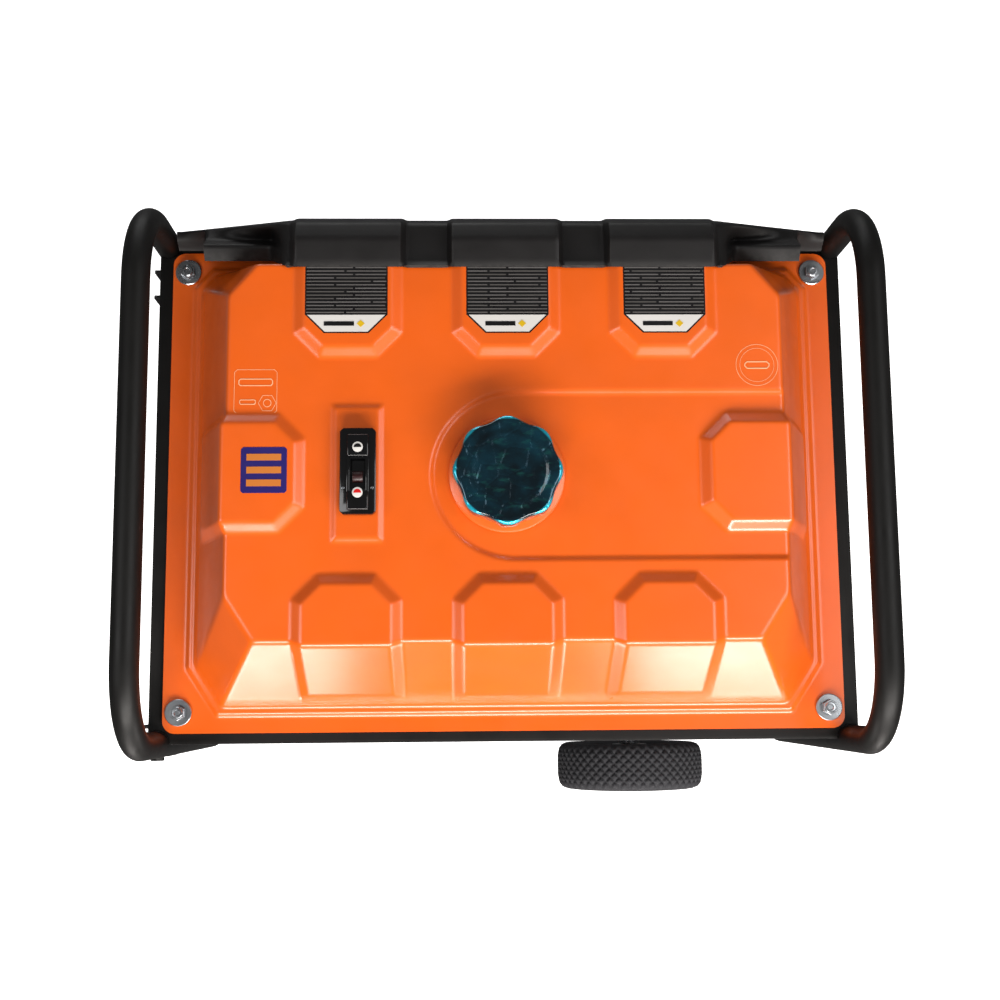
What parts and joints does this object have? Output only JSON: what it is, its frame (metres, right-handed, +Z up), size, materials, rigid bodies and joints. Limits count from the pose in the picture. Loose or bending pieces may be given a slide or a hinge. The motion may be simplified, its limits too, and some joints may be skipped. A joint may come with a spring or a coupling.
{
  "type": "portable generator",
  "caption": "Open-frame portable generator with a top fuel tank, control panel, wheel kit and folding handles.",
  "frame": {"origin": "centre of the whole outline on the floor", "axes": "+Z up, -Y towards the control panel, +X towards the folding handles, -X towards the wheels and the recoil starter"},
  "size_m": [0.7118, 0.6224, 0.6207],
  "materials": {
    "frame_paint": "satin black powder coat, slightly rough",
    "tank_paint": "semi-gloss orange powder coat",
    "hood_plastic": "moulded black plastic, fine grain",
    "panel_plastic": "moulded dark plastic, fine grain",
    "gauge_plastic": "gloss black",
    "tyre_rubber": "matte black rubber with a knurled tread",
    "rubber": "matte black rubber",
    "zinc": "bright zinc plate",
    "cast_alloy": "fine cast aluminium, blasted",
    "cap_chrome": "chrome under a blue protective film",
    "shaft_steel": "dark machined steel",
    "muffler_steel": "heat-dulled steel",
    "switch_red": "gloss red",
    "socket_plastic": "moulded dark grey plastic",
    "rim_paint": "dark grey enamel",
    "strainer_plastic": "translucent white nylon mesh"
  },
  "bodies": {
    "frame": {"hoop_wheel_end": "frame_paint", "hoop_handle_end": "frame_paint", "tank_rail_frame": "frame_paint", "base_rail_front": "frame_paint", "base_rail_rear": "frame_paint", "cross_member_engine": "frame_paint", "cross_member_alternator": "frame_paint", "handle_bracket_front": "frame_paint", "handle_bracket_rear": "frame_paint", "rocker_cover": "frame_paint", "tank_upper_shell": "tank_paint", "tank_lower_pan": "tank_paint", "filler_neck": "tank_paint", "recoil_housing": "tank_paint", "panel_hood": "hood_plastic", "air_cleaner": "hood_plastic", "control_panel": "panel_plastic", "gauge_housing": "gauge_plastic", "vibration_mount_engine_front": "rubber", "vibration_mount_engine_rear": "rubber", "vibration_mount_alternator_front": "rubber", "vibration_mount_alternator_rear": "rubber", "rubber_foot_front": "rubber", "rubber_foot_rear": "rubber", "fuel_hose": "rubber", "wheel_axle": "zinc", "tank_bolt_rear_right": "zinc", "tank_bolt_rear_left": "zinc", "tank_bolt_front_left": "zinc", "tank_bolt_front_right": "zinc", "engine_block": "cast_alloy", "cylinder_head": "cast_alloy", "alternator_housing": "cast_alloy", "carburettor": "cast_alloy", "fuel_tap": "cast_alloy", "muffler": "muffler_steel", "socket_left": "socket_plastic", "socket_right": "socket_plastic", "fuel_strainer": "strainer_plastic"},
    "wheel_front": {"tyre_front": "tyre_rubber", "wheel_rim_front": "rim_paint"},
    "wheel_rear": {"tyre_rear": "tyre_rubber", "wheel_rim_rear": "rim_paint"},
    "handle_front": {"handle_bar_front": "frame_paint", "handle_grip_front": "rubber"},
    "handle_rear": {"handle_bar_rear": "frame_paint", "handle_grip_rear": "rubber"},
    "cap_seal": {"cap_gasket": "rubber"},
    "cap": {"fuel_cap": "cap_chrome"},
    "gauge_needle": {"gauge_pointer": "switch_red"},
    "float": {"fuel_float": "strainer_plastic"},
    "tap_lever": {"fuel_tap_lever": "switch_red"},
    "lid_left": {"socket_lid_left": "socket_plastic"},
    "lid_right": {"socket_lid_right": "socket_plastic"},
    "engine_rocker": {"engine_switch": "switch_red"},
    "breaker_rocker": {"breaker_switch": "gauge_plastic"},
    "pull_grip": {"recoil_grip": "hood_plastic"},
    "choke": {"choke_lever": "shaft_steel"},
    "crank": {"crankshaft_rotor": "shaft_steel", "flywheel_fan": "cast_alloy"}
  },
  "joints": [
    {"name": "wheel_front_spin", "type": "hinge", "parent": "frame", "child": "wheel_front", "pos_m": [-0.17835, -0.2842, 0.088], "axis": [0, 1, 0], "continuous": true},
    {"name": "wheel_rear_spin", "type": "hinge", "parent": "frame", "child": "wheel_rear", "pos_m": [-0.17835, 0.2842, 0.088], "axis": [0, 1, 0], "continuous": true},
    {"name": "handle_front_fold", "type": "hinge", "parent": "frame", "child": "handle_front", "pos_m": [0.34165, -0.242, 0.335], "axis": [0, -1, 0], "range_deg": [0, 92]},
    {"name": "handle_rear_fold", "type": "hinge", "parent": "frame", "child": "handle_rear", "pos_m": [0.34165, 0.242, 0.335], "axis": [0, -1, 0], "range_deg": [0, 92]},
    {"name": "cap_lift", "type": "slide", "parent": "frame", "child": "cap_seal", "axis": [0, 0, 1], "range_m": [0, 0.1]},
    {"name": "cap_turn", "type": "hinge", "parent": "cap_seal", "child": "cap", "pos_m": [-0.01535, 0.0045, 0.6], "axis": [0, 0, 1], "range_deg": [0, 90]},
    {"name": "float_swing", "type": "hinge", "parent": "frame", "child": "float", "pos_m": [0.11635, 0.0025, 0.5643], "axis": [1, 0, 0], "range_deg": [-30, 30]},
    {"name": "gauge_turn", "type": "hinge", "parent": "frame", "child": "gauge_needle", "pos_m": [0.11635, 0.0075, 0.5941], "axis": [1, 0, 0], "range_deg": [-45, 45]},
    {"name": "tap_turn", "type": "hinge", "parent": "frame", "child": "tap_lever", "pos_m": [-0.23035, -0.1708, 0.428], "axis": [0, 1, 0], "range_deg": [0, 90]},
    {"name": "lid_left_open", "type": "hinge", "parent": "frame", "child": "lid_left", "pos_m": [0.08965, -0.2578, 0.441], "axis": [-1, 0, 0], "range_deg": [0, 115], "stiffness_Nm_per_rad": 0.02, "springref_deg": -11.46},
    {"name": "lid_right_open", "type": "hinge", "parent": "frame", "child": "lid_right", "pos_m": [0.17365, -0.2578, 0.441], "axis": [-1, 0, 0], "range_deg": [0, 115], "stiffness_Nm_per_rad": 0.02, "springref_deg": -11.46},
    {"name": "engine_rocker_tip", "type": "hinge", "parent": "frame", "child": "engine_rocker", "pos_m": [-0.24335, -0.2462, 0.415], "axis": [-1, 0, 0], "range_deg": [0, 14]},
    {"name": "breaker_rocker_tip", "type": "hinge", "parent": "frame", "child": "breaker_rocker", "pos_m": [-0.03535, -0.2462, 0.415], "axis": [-1, 0, 0], "range_deg": [0, 14]},
    {"name": "recoil_pull", "type": "slide", "parent": "frame", "child": "pull_grip", "axis": [0, -1, 0], "range_m": [0, 0.4], "stiffness_N_per_m": 40, "springref_m": -0.1},
    {"name": "choke_turn", "type": "hinge", "parent": "frame", "child": "choke", "pos_m": [-0.23535, 0.1478, 0.386], "axis": [0, 1, 0], "range_deg": [-18, 18]},
    {"name": "crank_spin", "type": "hinge", "parent": "frame", "child": "crank", "pos_m": [-0.01535, -0.03, 0.3], "axis": [1, 0, 0], "continuous": true}
  ],
  "couplings": [
    {"joint": "gauge_turn", "follows": "float_swing", "ratio": 1.5}
  ]
}
